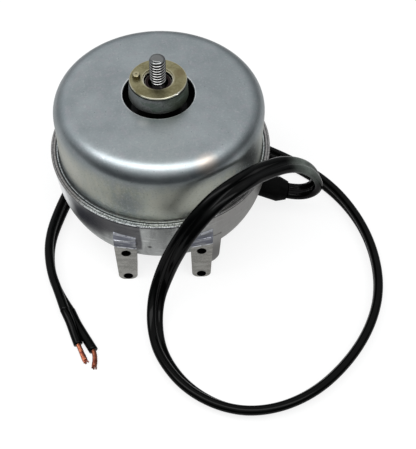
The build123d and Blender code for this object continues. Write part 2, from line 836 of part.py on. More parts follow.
def lead_route(side):
    """Split end: it leaves the cord square to the cord's end, beside its middle line."""
    end = Vector(*cord_points[-1])
    along = (end - Vector(*cord_points[-2])).normalized()
    across = Vector(-along.Y, along.X, 0)
    start = end + across * lead_start_spread * (-1 if side == "left" else 1)
    return [start, start + along * lead_first_run, Vector(*lead_ends[side])]


def make_lead(side):
    return tube(lead_route(side), lead_diameter / 2, "lead " + side)


def make_strands(side):
    """Bare strands: they leave the lead square to the lead's end."""
    before, start = lead_route(side)[1:]
    along = (start - before).normalized()
    points = [start, start + along * strand_first_run, Vector(*strand_ends[side])]
    return tube(points, strand_bundle_radius, "strands " + side)


pieces = {
    "base_casting": make_base_casting(),
    "cover": make_cover(),
    "stator_core": make_stator_core(),
    "shading_rings": make_shading_rings(),
    "coil_links": make_coil_links(),
    "stator_screws": make_stator_screws(),
    "bearing_sleeve": make_bearing_sleeve(),
    "oil_felt": make_oil_felt(),
    "bearing_plug": make_bearing_plug(),
    "thrust_washer": make_thrust_washer(),
    "rotor_hub": make_rotor_hub(),
    "hub_face_plate": make_hub_face_plate(),
    "shaft": make_shaft(),
    "drive_pin": pin_shape(0.3),
    "rotor_core": make_rotor_core(),
    "rotor_cage": make_rotor_cage(),
    "oil_slinger": make_oil_slinger(),
    "lower_washer": make_lower_washer(),
    "retaining_clip": make_retaining_clip(),
    "strain_relief": make_strain_relief(),
    "inner_lead_1": inner_lead(-1),
    "inner_lead_2": inner_lead(1),
    "power_cord": make_cord(),
    "lead_left": make_lead("left"),
    "lead_right": make_lead("right"),
    "strands_left": make_strands("left"),
    "strands_right": make_strands("right"),
}
for index in range(pole_count):
    angle = 360 / pole_count * index
    pieces["bobbin_%d" % (index + 1)] = around(make_bobbin(), angle)
    pieces["coil_%d" % (index + 1)] = around(make_coil(), angle)

os.makedirs("parts", exist_ok=True)
for name, piece in pieces.items():
    export_step(piece, "parts/%s.step" % name)
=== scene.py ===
from math import atan2, cos, pi, radians, sin

import bmesh
import bpy
from mathutils import Matrix, Vector


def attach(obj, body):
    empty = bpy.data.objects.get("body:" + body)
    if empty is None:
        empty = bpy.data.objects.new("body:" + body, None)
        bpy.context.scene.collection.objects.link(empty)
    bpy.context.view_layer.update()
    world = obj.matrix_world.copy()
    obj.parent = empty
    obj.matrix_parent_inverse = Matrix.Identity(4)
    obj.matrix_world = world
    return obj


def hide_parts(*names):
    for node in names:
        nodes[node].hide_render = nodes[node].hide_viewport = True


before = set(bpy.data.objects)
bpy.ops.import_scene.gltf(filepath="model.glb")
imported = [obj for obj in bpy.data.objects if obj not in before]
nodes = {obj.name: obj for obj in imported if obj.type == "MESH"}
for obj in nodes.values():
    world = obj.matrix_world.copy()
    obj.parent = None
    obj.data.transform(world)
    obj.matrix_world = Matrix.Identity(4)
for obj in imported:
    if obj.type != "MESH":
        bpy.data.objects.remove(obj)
bpy.context.view_layer.update()


# Die-cast base
# One aluminium die casting: a bowl with a lip rolled over the cover's flange, four feet milled
# flat and drilled, a boss above each foot and the bearing post inside. Its skin is satin and
# mottled in patches, and the rolling tool has left fine ticks round the lip. Painted light is
# laid on it too. Painted shade sits in the lip's groove, under the lip, in the feet's holes,
# beside and above the left foot and on the right side. The boss faces carry painted shade and
# reflection, and the front left a painted dark reflection. Painted highlights run along the boss
# edges, across the ticks on the front of the lip, and in one spot on the left.

MM = 0.001


class Value:
    """A socket of a finish. Arithmetic on it adds Math nodes to that finish."""

    def __init__(self, finish, socket):
        self.finish = finish
        self.socket = socket

    def maths(self, operation, *others):
        inputs = dict(enumerate((self, *others)))
        return self.finish.node("Math", {"operation": operation}, inputs)

    def __add__(self, other):
        return self.maths("ADD", other)

    def __sub__(self, other):
        return self.maths("SUBTRACT", other)

    def __rsub__(self, other):
        return (self * -1.0).maths("ADD", other)

    def __mul__(self, other):
        return self.maths("MULTIPLY", other)

    def __abs__(self):
        return self.maths("ABSOLUTE")

    def power(self, other):
        return self.maths("POWER", other)

    __radd__ = __add__
    __rmul__ = __mul__


class Finish:
    """One node tree, of a material or of the world, and the one method that adds nodes to it."""

    def __init__(self, name, owner=None):
        self.owner = owner or bpy.data.materials.new(name)
        self.owner.use_nodes = True
        self.tree = self.owner.node_tree
        self.tree.nodes.clear()

    def node(self, kind, settings=(), inputs=(), out=0):
        made = self.tree.nodes.new("ShaderNode" + kind)
        for name, value in dict(settings).items():
            setattr(made, name, value)
        for name, value in dict(inputs).items():
            if isinstance(value, Value):
                self.tree.links.new(value.socket, made.inputs[name])
            else:
                made.inputs[name].default_value = value
        return Value(self, made.outputs[out]) if made.outputs else None

    def place(self):
        """The point on the object, in millimetres."""
        metres = self.node("TexCoord", out="Object")
        return self.node("VectorMath", {"operation": "SCALE"}, {0: metres, "Scale": 1 / MM})

    def parts(self, place):
        """Across, deep and high, and how far the point is from the shaft's axis."""
        split = self.node("SeparateXYZ", {}, {0: place}).socket.node
        across, deep, high = [Value(self, socket) for socket in split.outputs]
        return across, deep, high, (across * across + deep * deep).maths("SQRT")

    def noise(self, place, grain, stretch=None, detail=3.0):
        """Noise from 0 to 1 whose grain is about this many millimetres."""
        if stretch:
            place = self.node("VectorMath", {"operation": "MULTIPLY"}, {0: place, 1: stretch})
        return self.node("TexNoise", {}, {"Vector": place, "Scale": 1 / grain, "Detail": detail})

    def step(self, value, low, high):
        """0 below the low value, 1 above the high one, smooth between."""
        return self.node(
            "MapRange", {"interpolation_type": "SMOOTHSTEP"},
            {"Value": value, "From Min": low, "From Max": high},
        )

    def line(self, value, middle, half):
        """1 where the value is at the middle, 0 from this far off it."""
        return 1 - self.step(abs(value - middle), half * 0.3, half)

    def spot(self, place, middle, radius):
        """1 at a point of the object, fading to 0 at this radius."""
        away = self.node("VectorMath", {"operation": "DISTANCE"}, {0: place, 1: middle}, "Value")
        return 1 - self.step(away, radius * 0.15, radius)

    def mixed(self, first, second, share):
        """Colour from first to second as share goes from 0 to 1."""
        pair = [c if isinstance(c, Value) else (*c, 1) for c in (first, second)]
        return self.node("Mix", {"data_type": "RGBA"}, {0: share, 6: pair[0], 7: pair[1]}, 2)

    def layered(self, colour, layers):
        """The colour under others laid over it in turn, each with its share from 0 to 1."""
        for laid, share in layers:
            colour = self.mixed(colour, laid, share)
        return colour

    def bumped(self, height, depth):
        """Normal raised by a height from 0 to 1 that stands for a depth in millimetres."""
        return self.node("Bump", {}, {"Height": height, "Distance": depth * MM})

    def surface(self, **sockets):
        """Ends the finish in one principled surface."""
        named = {name.replace("_", " "): value for name, value in sockets.items()}
        return self.ended(self.node("BsdfPrincipled", {}, named))

    def ended(self, shader):
        kind = "OutputWorld" if isinstance(self.owner, bpy.types.World) else "OutputMaterial"
        self.node(kind, {}, {"Surface": shader})
        return self.owner


def dressed(names, material):
    """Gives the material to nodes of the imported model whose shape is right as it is."""
    for name in names:
        for place in nodes[name].material_slots:
            place.material = material


def cast_finish():
    lip_inside = 43.35
    lip_outside = 45.4
    lip_bottom = 38.4
    groove_height = 37.95
    flat_face = 42.0
    flat_top = 23.1
    boss_shoulder = 26.8
    boss_top = 30.0
    boss_inside = 42.5
    foot_place = 15.3
    foot_half = 4.55
    hole_radius = 1.9
    hole_floor = 37.6
    hole_heights = (2.3, 18.2)
    skin = Finish("cast_aluminium")
    place = skin.place()
    across, deep, high, reach = skin.parts(place)
    turn = deep.maths("ARCTAN2", across)

    cloud = skin.noise(place, 9.0, detail=4.0)
    grain = skin.noise(place, 0.55, detail=5.0)
    flow = skin.noise(place, 3.2, (1.0, 1.0, 0.22), 4.0)
    level_flow = skin.noise(place, 2.6, (0.3, 0.3, 1.6), 4.0)
    pits = skin.step(skin.noise(place, 1.0, detail=1.0), 0.70, 0.76)
    round_lip = skin.node("CombineXYZ", {}, {0: turn * lip_outside, 1: reach, 2: high})
    ticks = skin.noise(round_lip, 0.45, (1.0, 0.35, 0.35), 2.0)
    rings = skin.noise(round_lip, 0.35, (0.10, 1.0, 1.0), 2.0)
    chatter = skin.step(ticks * 0.55 + rings * 0.45, 0.40, 0.56)
    # The front arc of the lip, whose ticks also carry a painted highlight.
    lip_front = skin.step(across, -35.0, -28.0) * (1 - skin.step(across, 12.0, 26.0))
    lip_front = lip_front * skin.step(deep, 0.0, -10.0)

    on_lip = skin.step(high, lip_bottom - 0.2, lip_bottom)
    on_lip = on_lip * skin.step(reach, lip_inside - 0.1, lip_inside)
    # Painted shade: dark lines in the lip's groove and crease, and a dark line under the lip.
    lip_groove_shade = on_lip * skin.line(reach, lip_inside + 0.1, 0.32)
    lip_groove_shade = lip_groove_shade + on_lip * skin.line(reach, lip_outside - 0.85, 0.28) * 0.85
    shade_under_lip = skin.line(high, groove_height, 0.55) * (1 - on_lip)
    off_middle = abs(abs(across) - foot_place)
    near_foot = 1 - skin.step(off_middle, foot_half - 0.1, foot_half + 0.1)
    below_flat_top = 1 - skin.step(high, flat_top - 0.15, flat_top)
    on_flat = near_foot * below_flat_top * skin.line(abs(deep), flat_face, 0.3)
    on_boss = near_foot * skin.step(high, flat_top - 0.1, flat_top)
    on_boss = on_boss * skin.step(reach, boss_inside, boss_inside + 0.5)
    on_boss = on_boss * (1 - skin.step(high, boss_top, boss_top + 0.8))
    # Painted highlights along the boss's shoulder, its top and the ledge over the milled flat.
    ridge_highlights = skin.line(high, boss_shoulder + flow * 0.5, 0.55) * 0.5
    ridge_highlights = ridge_highlights + skin.line(high, boss_top - 0.3, 0.9) + skin.line(high, flat_top + 0.3, 0.75)
    ridge_highlights = on_boss * ridge_highlights * skin.step(skin.noise(place, 1.1, detail=2.0), 0.34, 0.52)

    # Painted shade inside the feet's holes.
    hole_shade = 0
    for height in hole_heights:
        above_axis = high - height
        from_axis = (off_middle * off_middle + above_axis * above_axis).maths("SQRT")
        hole_shade = hole_shade + (1 - skin.step(from_axis, hole_radius + 0.03, hole_radius + 0.13))
    hole_shade = hole_shade * skin.step(abs(deep), hole_floor - 0.3, hole_floor - 0.1)

    # Painted dark reflection on the front left of the bowl.
    dark_reflection = skin.spot(place, (-32.0, -31.5, 30.0), 15.0) * skin.step(flow, 0.05, 0.35)
    # Painted shade: a band under the lip across the left foot, and a strip just right of that foot.
    strip_edge = across + flow * 1.6
    beside_foot = skin.step(across, -33.0, -27.0) * (1 - skin.step(strip_edge, -8.4, -7.4))
    beside_foot = beside_foot * skin.step(deep, 0.0, -10.0) * (1 - on_lip)
    foot_shadow_strip = skin.step(across, -11.2, -10.6) * skin.step(high, 19.0, 22.0)
    shade_band = beside_foot * skin.step(high, 27.5, 30.5).maths("MAXIMUM", foot_shadow_strip)
    # Painted shade above the left boss.
    dark_patch = skin.spot(place, (-26.5, -37.0, 31.0), 11.0) * skin.step(level_flow, 0.15, 0.45)
    # Painted shade down the right side and low on the right.
    right_shade = skin.step(across, 8.0, 24.0)
    low_right_shade = skin.spot(place, (20.5, -37.0, 12.0), 11.0)
    # Painted highlight on the left, below the lip.
    left_highlight = skin.spot(place, (-41.5, -18.5, 31.5), 13.0) * skin.step(flow, 0.15, 0.45)
    pit = skin.spot(place, (-5.5, -43.6, 24.1), 1.3)

    # Painted shade and reflection on the boss faces: dark below their shoulder, paler above it.
    boss_climb = skin.step(high, boss_shoulder - 1.6, boss_shoulder + 1.8)
    boss_shading = skin.mixed((0.125, 0.13, 0.16), (0.32, 0.33, 0.39), boss_climb)
    boss_mask = on_boss * (1 - skin.step(level_flow, 0.48, 0.60) * 0.5)
    milled = skin.step(grain * 0.5 + level_flow * 0.5, 0.40, 0.58)
    flat_colour = skin.mixed((0.235, 0.23, 0.21), (0.36, 0.35, 0.325), milled)
    lip_colour = skin.mixed((0.20, 0.195, 0.195), (0.34, 0.33, 0.325), skin.step(ticks, 0.3, 0.7))
    # Ticks on the lip: real tool ticks, painted bright on the front arc as a highlight.
    ticks_and_highlight = skin.mixed((0.20, 0.21, 0.22), (0.78, 0.81, 0.82), chatter)
    ticks_and_highlight_share = lip_front * (1 - skin.step(across, -12.0, 0.0) * 0.2)
    lip_colour = skin.mixed(lip_colour, ticks_and_highlight, ticks_and_highlight_share)

    colour = skin.mixed((0.335, 0.343, 0.340), (0.515, 0.535, 0.525), cloud)
    colour = skin.layered(colour, [
        ((0.255, 0.260, 0.260), skin.step(flow, 0.48, 0.72) * 0.75),
        ((0.73, 0.75, 0.735), skin.step(level_flow, 0.54, 0.72) * 0.55),
        ((0.74, 0.755, 0.74), skin.step(grain, 0.52, 0.74) * 0.50),
        ((0.26, 0.25, 0.24), right_shade * 0.8),
        ((0.12, 0.115, 0.11), low_right_shade * 0.7),
        ((0.05, 0.05, 0.05), dark_patch * 0.9),
        ((0.08, 0.078, 0.085), shade_band * (0.70 + level_flow * 0.4)),
        ((0.008, 0.009, 0.020), dark_reflection),
        ((0.97, 0.98, 0.99), left_highlight),
        (boss_shading, boss_mask),
        ((0.74, 0.76, 0.80), ridge_highlights * 0.85),
        (flat_colour, on_flat * 0.85),
        ((0.08, 0.08, 0.08), pits * 0.6),
        ((0.01, 0.01, 0.01), pit),
        ((0.008, 0.008, 0.008), hole_shade),
        (lip_colour, on_lip),
        ((0.04, 0.042, 0.045), lip_groove_shade),
        ((0.015, 0.016, 0.018), shade_under_lip),
    ])
    rough = 0.30 + cloud * 0.14 + grain * 0.10 + dark_reflection * 0.08 - on_lip * 0.12 - ridge_highlights * 0.08
    relief = grain * 0.45 + flow * 0.55 + level_flow * 0.4 - pits * 0.6 + on_lip * ticks * 2.0
    relief = relief + ridge_highlights * 2.0 + on_boss * level_flow * 2.0
    return skin.surface(
        Base_Color=colour, Metallic=0.92, Roughness=rough, Normal=skin.bumped(relief, 0.11)
    )


dressed(["base_casting"], cast_finish())


# Drawn cover
# One shell of zinc-plated steel, deep drawn with a wide corner and trimmed to a small flange
# that the base's lip holds. The plating is blue-grey on top, and faintly green and yellow in
# speckles down the wall. Its colour also carries painted reflections, pale and dark, on the top
# and down the wall, a painted highlight round the hole and along the flange's edge, and painted
# shade in the crease at the flange and low on the wall's left.

def plated_finish():
    corner_height = 57.5
    top_height = 66.5
    hole_radius = 14.1
    wall_radius = 42.0
    flange_radius = 42.85
    flange_top = 39.6
    plate = Finish("zinc_plate")
    place = plate.place()
    across, _, high, reach = plate.parts(place)
    wall = 1 - plate.step(high, corner_height - 4, corner_height + 5)
    top = plate.step(high, top_height - 1.0, top_height - 0.1)
    cloud = plate.noise(place, 13.0, detail=4.0)
    speckle = plate.noise(place, 0.75, detail=4.0)
    blotch = plate.noise(place, 2.4, detail=3.0)
    drawn = plate.noise(place, 2.2, (1.0, 1.0, 0.2), 3.0)
    specks = plate.step(plate.noise(place, 0.65, detail=0.0), 0.825, 0.85)
    scuffs = plate.step(plate.noise(place, 1.5, (1.0, 0.35, 1.0), 2.0), 0.66, 0.74)
    # Painted highlight round the hole's edge.
    rim = top * plate.line(reach, hole_radius + 0.35, 0.3) * plate.step(blotch, 0.25, 0.5)
    flange = 1 - plate.step(high, flange_top, flange_top + 0.3)
    # Painted highlight along the flange's edge, and painted shade in the crease between wall and
    # flange.
    flange_edge_highlight = flange * plate.line(reach, flange_radius, 0.28)
    flange_shade = flange * plate.step(reach, wall_radius, wall_radius + 0.1) * (1 - flange_edge_highlight)
    # Painted shade low on the wall's left, by the flange.
    shade_by_flange = (1 - plate.step(high, 40.0, 45.0)) * (1 - plate.step(across, -30.0, -8.0))

    # The wall's green and yellow tint, with painted reflections laid over it: pale spots on the front
    # and left, a dark one on the front left and a near-black one on the right where the cord passes
    # close.
    wall_tint_and_reflections = plate.mixed((0.285, 0.315, 0.270), (0.385, 0.385, 0.325), plate.step(drawn, 0.3, 0.7))
    wall_tint_and_reflections = plate.layered(wall_tint_and_reflections, [
        ((0.27, 0.31, 0.32), plate.step(blotch, 0.44, 0.66) * 0.55),
        ((0.55, 0.56, 0.48), plate.spot(place, (3.0, -42.0, 47.0), 18.0) * 0.8),
        ((0.50, 0.51, 0.44), plate.spot(place, (16.0, -39.0, 49.0), 15.0) * 0.9),
        ((0.47, 0.47, 0.40), plate.spot(place, (-25.0, -34.0, 51.0), 13.0) * 0.5),
        ((0.19, 0.22, 0.23), plate.spot(place, (-12.5, -40.0, 47.0), 9.0) * 0.65),
        ((0.52, 0.52, 0.46), plate.spot(place, (-35.0, -23.0, 49.0), 15.0) * 0.9),
        ((0.03, 0.04, 0.04), plate.spot(place, (34.5, -24.0, 50.0), 14.0) * 0.95),
        ((0.13, 0.15, 0.16), shade_by_flange * 0.75),
    ])
    colour = plate.mixed((0.240, 0.270, 0.283), (0.300, 0.332, 0.346), plate.step(cloud, 0.3, 0.7))
    # On the top, a paler front is painted light and the back right is darker. A dark spot on the right
    # where the cord passes, a small pale spot before the hole and a warm fleck on the front corner are
    # painted reflections.
    colour = plate.layered(colour, [
        ((0.300, 0.300, 0.325), plate.step(blotch, 0.48, 0.70) * 0.5),
        ((0.40, 0.44, 0.44), plate.spot(place, (0.0, -29.0, 66.0), 20.0) * 0.30),
        ((0.19, 0.215, 0.225), plate.spot(place, (27.0, 6.0, 66.0), 20.0) * 0.35),
        (wall_tint_and_reflections, wall * 0.9),
        ((0.09, 0.105, 0.105), plate.spot(place, (34.5, -23.5, 58.0), 10.0) * 0.7),
        ((0.47, 0.49, 0.49), plate.step(speckle, 0.52, 0.80) * (0.30 + wall * 0.35)),
        ((0.17, 0.19, 0.19), plate.step(speckle, 0.46, 0.22) * (0.25 + wall * 0.35)),
        ((0.42, 0.45, 0.45), plate.spot(place, (-6.0, -16.2, 66.5), 3.6) * 0.5),
        ((0.62, 0.52, 0.44), plate.spot(place, (17.8, -36.6, 64.6), 6.5) * 0.60),
        ((0.62, 0.65, 0.66), scuffs * 0.08),
        ((0.72, 0.75, 0.76), rim * 0.6),
        ((0.03, 0.03, 0.03), flange_shade * 0.9),
        ((0.50, 0.53, 0.54), flange_edge_highlight * plate.step(speckle, 0.35, 0.55)),
        ((0.05, 0.05, 0.05), specks * 0.5),
    ])
    rough = 0.28 + cloud * 0.06 + speckle * 0.08 + wall * 0.08 - scuffs * 0.05
    relief = speckle * 0.6 + drawn * wall * 0.5 + blotch * 0.5
    return plate.surface(
        Base_Color=colour, Metallic=1.0, Roughness=rough, Normal=plate.bumped(relief, 0.022)
    )


dressed(["cover"], plated_finish())


# Rotor hub and face washer
# The hub is turned from steel and blackened: its collar is worn to a mottled grey and its neck
# and recess stay black. The collar is painted paler on its left and darker on its right as light
# and shade, with painted shade just under the washer, and painted highlights mark the recess's
# inner step and the ledge at its mouth. The washer on its nose is yellow-zinc plated, worn bright
# along its outer edge, and the drive pin beside the stud has the same plate, painted dark down
# its sides as shade and pale round the rim of its end as a highlight.

def hub_finish():
    collar_bottom = 66.2
    collar_top = 73.15
    collar_radius = 11.0
    recess_bottom = 71.0
    recess_radius = 6.2
    step_radius = 5.2
    step_top = 72.2
    ledge_inside = 5.6
    hub = Finish("blackened_steel")
    place = hub.place()
    across, _, high, reach = hub.parts(place)
    cloud = hub.noise(place, 4.5, detail=4.0)
    fine = hub.noise(place, 0.7, detail=4.0)
    turned = hub.noise(place, 1.2, (0.25, 0.25, 3.0), 2.0)
    on_collar = hub.step(reach, collar_radius, collar_radius + 0.2)
    on_collar = on_collar * hub.step(high, collar_bottom - 0.3, collar_bottom)
    # Painted shade on the collar just under the washer.
    shade_under_plate = on_collar * hub.step(high, collar_top - 0.45, collar_top - 0.15)
    in_recess = hub.step(high, recess_bottom, recess_bottom + 0.3)
    in_recess = in_recess * (1 - hub.step(reach, recess_radius, recess_radius + 0.2))
    step_face = in_recess * hub.step(high, step_top - 0.2, step_top - 0.05)
    step_face = step_face * (1 - hub.step(reach, step_radius, step_radius + 0.05))
    # Painted highlights on the edge of the recess's inner step and on the ledge at its mouth.
    step_edge_highlight = step_face * hub.step(reach, step_radius - 0.35, step_radius - 0.1)
    ledge_highlight = in_recess * hub.step(reach, ledge_inside, ledge_inside + 0.05)
    ledge_highlight = ledge_highlight * hub.step(high, collar_top - 0.1, collar_top - 0.02)

    mottle = hub.step(cloud * 0.6 + fine * 0.4, 0.36, 0.64)
    worn = hub.mixed((0.120, 0.123, 0.120), (0.300, 0.302, 0.295), mottle)
    worn = hub.layered(worn, [
        # The collar is painted paler on its left and darker and greener on its right: painted light
        # and shade over the wear.
        ((0.36, 0.365, 0.35), hub.step(across, -3.0, -9.0) * 0.5),
        ((0.085, 0.105, 0.065), hub.step(across, -1.0, 8.0) * 0.8),
        ((0.12, 0.17, 0.13), hub.step(cloud, 0.58, 0.66) * 0.6),
        ((0.34, 0.35, 0.34), hub.step(turned, 0.58, 0.70) * 0.35),
    ])
    colour = hub.mixed((0.012, 0.012, 0.013), (0.030, 0.030, 0.030), mottle)
    colour = hub.layered(colour, [
        (worn, on_collar),
        ((0.02, 0.02, 0.02), shade_under_plate),
        ((0.022, 0.014, 0.015), step_face),
        ((0.30, 0.29, 0.25), step_edge_highlight * 0.45),
        ((0.62, 0.60, 0.50), ledge_highlight),
    ])
    rough = 0.40 + fine * 0.10 + cloud * 0.06
    return hub.surface(
        Base_Color=colour, Metallic=1.0, Roughness=rough,
        Normal=hub.bumped(fine * 0.6 + turned * 0.5, 0.02),
    )


def washer_finish():
    edge_radius = 11.2
    hole_radius = 6.1
    face_height = 73.95
    washer = Finish("yellow_zinc_washer")
    place = washer.place()
    reach = washer.parts(place)[3]
    cloud = washer.noise(place, 5.0, detail=4.0)
    fine = washer.noise(place, 0.8, detail=4.0)
    worn = washer.step(reach, edge_radius - 0.45, edge_radius - 0.1)
    worn_patchy = worn * washer.step(cloud, 0.22, 0.46)
    hole_edge = 1 - washer.step(reach, hole_radius + 0.1, hole_radius + 0.7)
    dark_patch = washer.spot(place, (8.3, 2.5, face_height), 3.8)
    nick = washer.spot(place, (7.2, -8.6, face_height), 2.2)
    mottle = washer.step(cloud * 0.6 + fine * 0.4, 0.34, 0.66)
    colour = washer.mixed((0.165, 0.148, 0.078), (0.275, 0.255, 0.150), mottle)
    colour = washer.layered(colour, [
        ((0.150, 0.118, 0.060), dark_patch * 0.7),
        ((0.46, 0.44, 0.32), hole_edge * 0.55),
        ((0.68, 0.66, 0.55), worn_patchy * 0.65),
        ((0.92, 0.90, 0.82), nick * worn),
    ])
    rough = 0.34 + fine * 0.12 - worn * 0.08
    return washer.surface(
        Base_Color=colour, Metallic=1.0, Roughness=rough, Normal=washer.bumped(fine, 0.016)
    )


def pin_finish():
    middle = (-8.3, 1.0, 75.75)
    dark_middle = 0.62
    pin = Finish("yellow_zinc_pin")
    place = pin.place()
    away = pin.node("VectorMath", {"operation": "DISTANCE"}, {0: place, 1: middle}, "Value")
    high = pin.parts(place)[2]
    fine = pin.noise(place, 0.6, detail=3.0)
    end_face = pin.step(high, middle[2] - 0.3, middle[2] - 0.1)
    rim = end_face * pin.step(away, dark_middle * 0.05, dark_middle)
    # The pin's sides are painted dark as shade, and its end face is dark in the middle and pale round
    # its rim as a painted highlight.
    colour = pin.mixed((0.06, 0.05, 0.025), (0.14, 0.12, 0.065), fine)
    colour = pin.layered(colour, [
        ((0.075, 0.065, 0.045), end_face * 0.8),
        ((0.36, 0.33, 0.21), rim),
    ])
    return pin.surface(
        Base_Color=colour, Metallic=1.0, Roughness=0.32 + fine * 0.1, Normal=pin.bumped(fine, 0.012)
    )


dressed(["rotor_hub"], hub_finish())
dressed(["hub_face_plate"], washer_finish())
dressed(["drive_pin"], pin_finish())


# Shaft and fan stud
# The shaft is ground steel. Above the hub's recess it is a stud with a rolled quarter-inch
# thread, twenty turns to the inch, and a domed end. Its roots are painted near black as shade,
# its crests are darkened, and the shaft below the stud is painted black as shade in the recess.

def spun(outline, steps):
    """Outline of radius and height in millimetres, turned about the shaft."""
    shape = bmesh.new()
    spots = [shape.verts.new((radius * MM, 0, height * MM)) for radius, height in outline]
    for start, end in zip(spots, spots[1:]):
        shape.edges.new((start, end))
    bmesh.ops.spin(
        shape, geom=shape.verts[:] + shape.edges[:], cent=(0, 0, 0), axis=(0, 0, 1),
        angle=2 * pi, steps=steps, use_merge=True,
    )
    bmesh.ops.remove_doubles(shape, verts=shape.verts, dist=1e-6)
    return shape


def object_of(name, shape, material):
    """Puts a finished bmesh in the scene under this name."""
    mesh = bpy.data.meshes.new(name)
    shape.to_mesh(mesh)
    shape.free()
    mesh.materials.append(material)
    made = bpy.data.objects.new(name, mesh)
    bpy.context.scene.collection.objects.link(made)
    return made


def finished_piece(name, shape, material, body, node):
    """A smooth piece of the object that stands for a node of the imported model."""
    bmesh.ops.recalc_face_normals(shape, faces=shape.faces)
    piece = object_of(name, shape, material)
    faces = piece.data.polygons
    faces.foreach_set("use_smooth", [True] * len(faces))
    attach(piece, body)
    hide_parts(node)
    return piece


def shaft_shape():
    shaft_radius = 3.97
    groove_radius = 3.47
    groove = (12.7, 13.4)
    foot = (11.0, 0.5)
    recess_floor = 72.2
    root_radius = 2.6
    root_top = 73.35
    stud_radius = 3.175
    tip = 84.8
    pitch = 1.27
    thread_depth = 0.72
    crest_share = 0.16
    root_share = 0.14
    rows_per_turn = 16
    dome_start = 83.1
    dome_rows = 12
    dome_fullness = 0.75
    rows = int((dome_start - root_top) / pitch * rows_per_turn)
    rise = (dome_start - root_top) / rows
    outline = [
        (0, foot[0]), (shaft_radius - foot[1], foot[0]), (shaft_radius, foot[0] + foot[1]),
        (shaft_radius, groove[0]), (groove_radius, groove[0]), (groove_radius, groove[1]),
        (shaft_radius, groove[1]), (shaft_radius, recess_floor), (root_radius, recess_floor),
        (root_radius, root_top),
    ]
    outline += [(stud_radius, root_top + rise * row) for row in range(rows + 1)]
    for row in range(1, dome_rows + 1):
        swing = radians(90 * row / dome_rows)
        reach = stud_radius * cos(swing) ** dome_fullness
        outline.append((reach, dome_start + (tip - dome_start) * sin(swing)))
    outline[-1] = (0, tip)
    shape = spun(outline, steps=72)
    just_below_thread = (root_top - 0.01) * MM
    for spot in shape.verts:
        if spot.co.z < just_below_thread:
            continue
        reach = Vector((spot.co.x, spot.co.y)).length
        turn = atan2(spot.co.y, spot.co.x) / (2 * pi)
        from_root = abs((spot.co.z / (pitch * MM) - turn) % 1.0 - 0.5)
        climb = (from_root - root_share / 2) / (0.5 - root_share / 2 - crest_share / 2)
        limit = (stud_radius - thread_depth * (1 - min(1.0, max(0.0, climb)))) * MM
        if reach > limit:
            spot.co.x *= limit / reach
            spot.co.y *= limit / reach
    return shape


def stud_finish():
    stud_bottom = 73.35
    recess_bottom = 71.0
    valley_radius = 2.73
    crest_radius = 3.06
    dome_start = 83.1
    stud = Finish("bright_steel")
    place = stud.place()
    high, reach = stud.parts(place)[2:]
    fine = stud.noise(place, 0.5, detail=3.0)
    on_stud = stud.step(high, stud_bottom - 0.05, stud_bottom)
    # Painted shade: the shaft below the stud, inside the hub's recess.
    shade_below_stud = stud.step(high, recess_bottom - 0.5, recess_bottom) * (1 - on_stud)
    on_dome = stud.step(high, dome_start, dome_start + 0.3)
    crest = stud.step(reach, crest_radius - 0.03, crest_radius + 0.02)
    # Painted shade in the thread's roots.
    root_shade = on_stud * (1 - stud.step(reach, valley_radius, valley_radius + 0.2)) * (1 - on_dome)
    colour = stud.mixed((0.50, 0.50, 0.50), (0.64, 0.64, 0.63), fine)
    colour = stud.layered(colour, [
        ((0.012, 0.011, 0.011), shade_below_stud),
        ((0.25, 0.25, 0.247), on_stud),
        ((0.16, 0.165, 0.165), on_dome),
        ((0.02, 0.02, 0.02), on_stud * crest * (1 - on_dome)),
        ((0.008, 0.008, 0.008), root_shade),
    ])
    return stud.surface(
        Base_Color=colour, Metallic=1.0, Roughness=0.10 + fine * 0.05, Normal=stud.bumped(fine, 0.004)
    )


steel = stud_finish()
finished_piece("shaft_and_stud", shaft_shape(), steel, "rotor", "shaft")


# Stator, rotor core and bearing
# The working parts under the cover: oxide-coated laminations, nylon bobbins with enamelled
# windings, copper shading rings, a cast aluminium cage, a bronze sleeve with its oil felt.

def two_tone(name, dark, light, roughness, grain, depth, metallic=1.0, gloss=0.5):
    """Plain finish: two tones in clouds, with fine grain in its gloss and its relief."""
    plain = Finish(name)
    place = plain.place()
    cloud = plain.noise(place, grain * 5, detail=4.0)
    fine = plain.noise(place, grain, detail=4.0)
    colour = plain.mixed(dark, light, plain.step(cloud * 0.6 + fine * 0.4, 0.32, 0.68))
    rough = roughness + fine * 0.10 + cloud * 0.06
    return plain.surface(
        Base_Color=colour, Metallic=metallic, Roughness=rough, Specular_IOR_Level=gloss,
        Normal=plain.bumped(fine, depth),
    )


laminations = two_tone("laminations", (0.12, 0.13, 0.15), (0.20, 0.21, 0.23), 0.42, 0.9, 0.02)
copper_ring = two_tone("copper_ring", (0.62, 0.24, 0.11), (0.86, 0.42, 0.22), 0.26, 0.8, 0.02)
winding = two_tone("enamelled_wire", (0.34, 0.12, 0.05), (0.52, 0.20, 0.08), 0.26, 0.35, 0.06)
bronze = two_tone("sintered_bronze", (0.32, 0.22, 0.12), (0.44, 0.31, 0.17), 0.45, 0.25, 0.03)
cage_metal = two_tone("cast_cage", (0.44, 0.44, 0.45), (0.58, 0.58, 0.58), 0.40, 1.2, 0.03)
plug_metal = two_tone("plug_zinc", (0.33, 0.36, 0.38), (0.42, 0.44, 0.46), 0.32, 0.8, 0.02)
nylon = two_tone("bobbin_nylon", (0.72, 0.69, 0.60), (0.80, 0.77, 0.69), 0.50, 2.0, 0.01, 0.0)
felt = two_tone("oil_felt", (0.40, 0.36, 0.28), (0.56, 0.51, 0.40), 0.85, 0.5, 0.12, 0.0)
phenolic = two_tone("phenolic", (0.13, 0.065, 0.035), (0.20, 0.11, 0.06), 0.40, 0.7, 0.01, 0.0)
